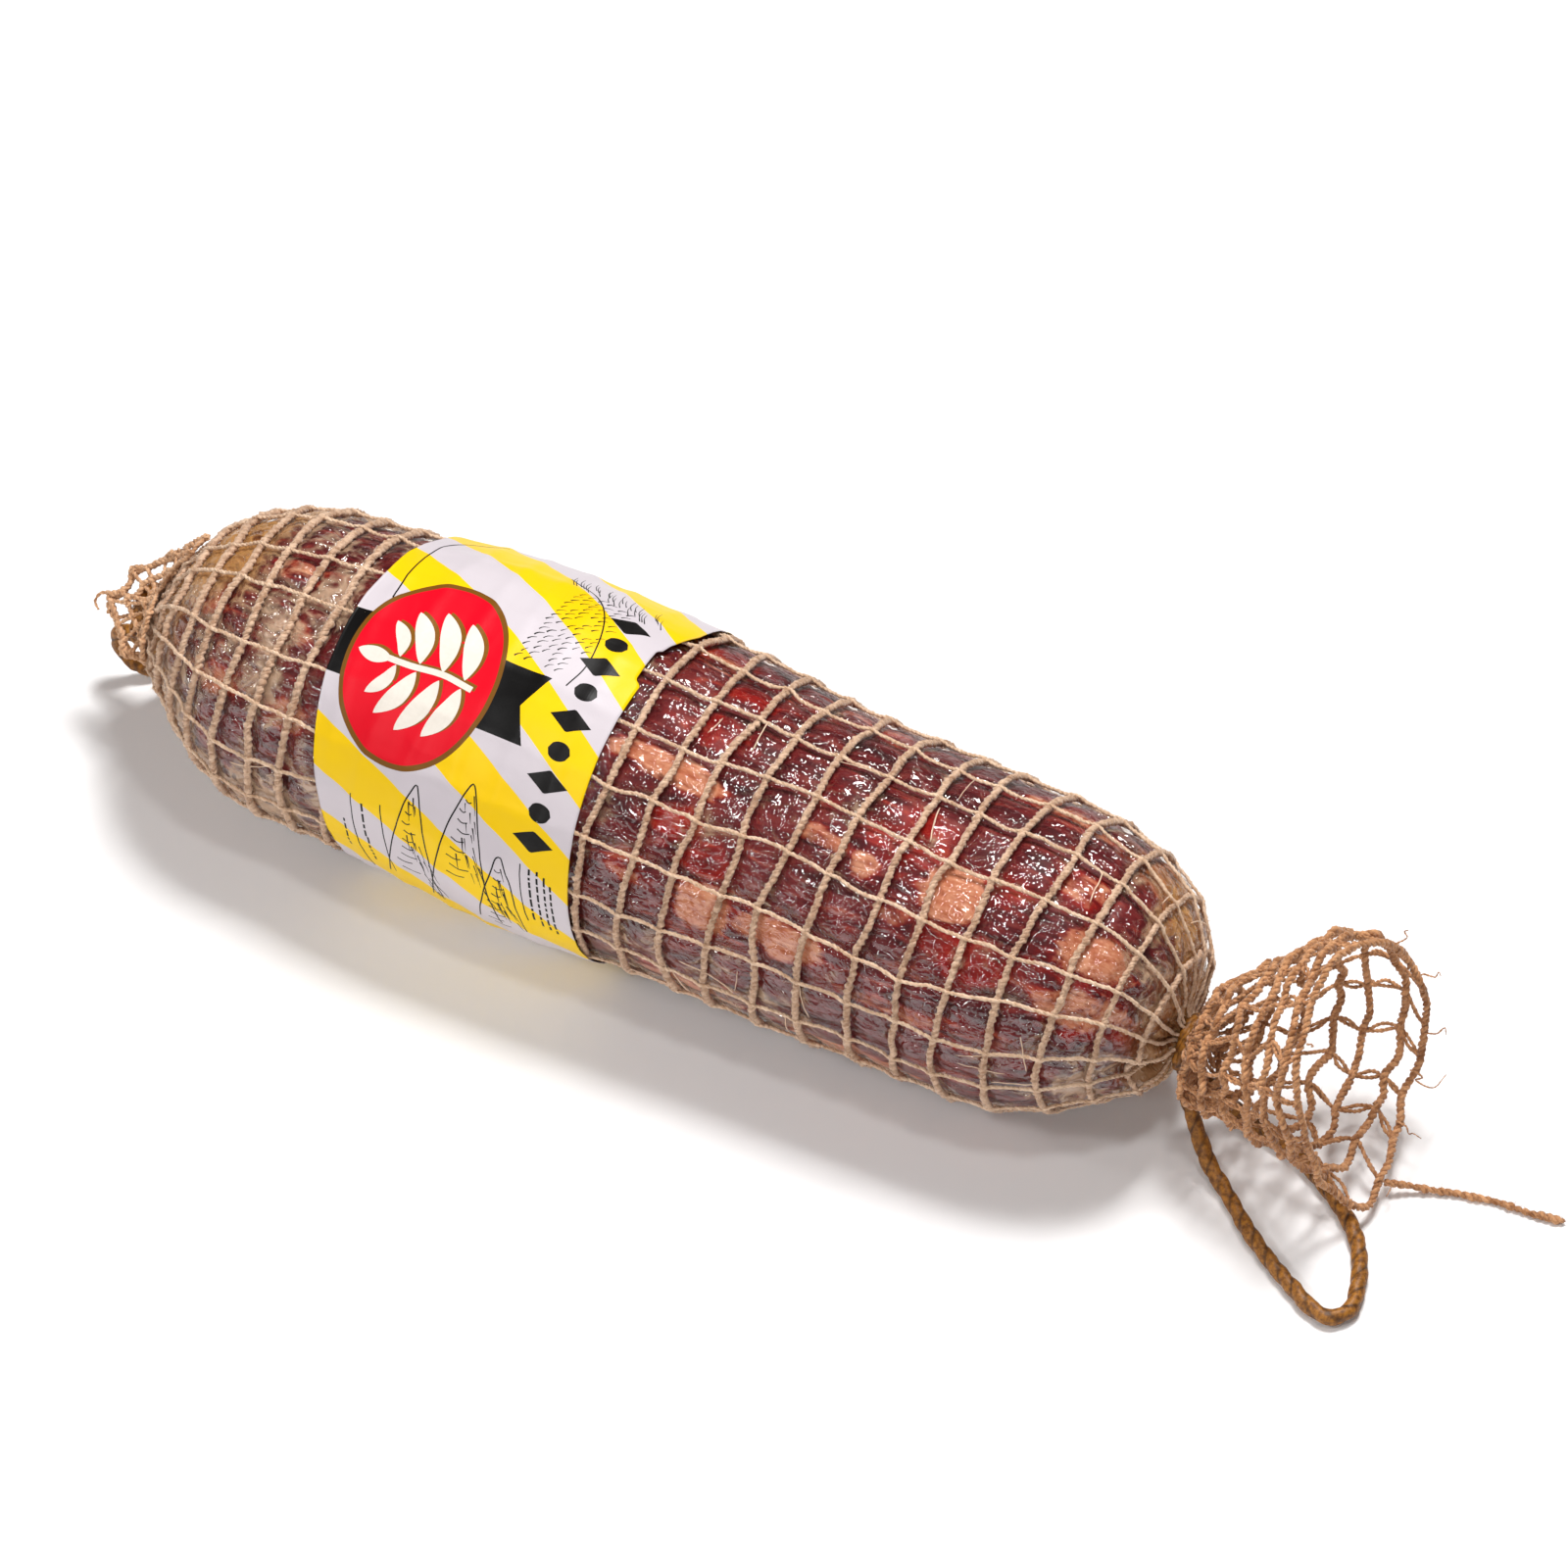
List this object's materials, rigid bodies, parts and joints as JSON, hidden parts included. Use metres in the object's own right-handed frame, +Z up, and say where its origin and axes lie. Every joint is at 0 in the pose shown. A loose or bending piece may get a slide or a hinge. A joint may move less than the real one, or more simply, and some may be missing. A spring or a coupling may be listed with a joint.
{
  "type": "cured pork neck in netting",
  "caption": "Whole-muscle cured pork piece in clear film and knitted elastic net, tied at both ends, with a paper band, lying down.",
  "frame": {"origin": "under the middle of the piece on the surface it lies on: bottom centre of the box of everything but the string loops and the loose thread", "axes": "+X along the body towards the open bell of the net, +Z up, +Y away from the side the label faces"},
  "size_m": [0.436, 0.1079, 0.0934],
  "materials": {
    "cured_meat": "dark red cured muscle with pale fat, moist",
    "clear_film": "clear crinkled glossy film",
    "net_cotton": "matt knitted cotton and elastic cord",
    "net_cotton_browned": "matt knitted cord, browned and frayed",
    "printed_paper": "coated paper, yellow and white stripes, slight sheen",
    "brown_string": "twisted waxed string, dark amber brown"
  },
  "bodies": {
    "root": {"cured_meat": "cured_meat", "film_wrap": "clear_film", "net_sleeve": "net_cotton", "net_tail": "net_cotton_browned", "net_tuft": "net_cotton_browned", "label_band": "printed_paper", "neck_tie_right": "brown_string", "neck_tie_left": "brown_string", "hanging_loop_right": "brown_string", "hanging_loop_left": "brown_string", "loose_thread": "net_cotton_browned"}
  },
  "joints": []
}
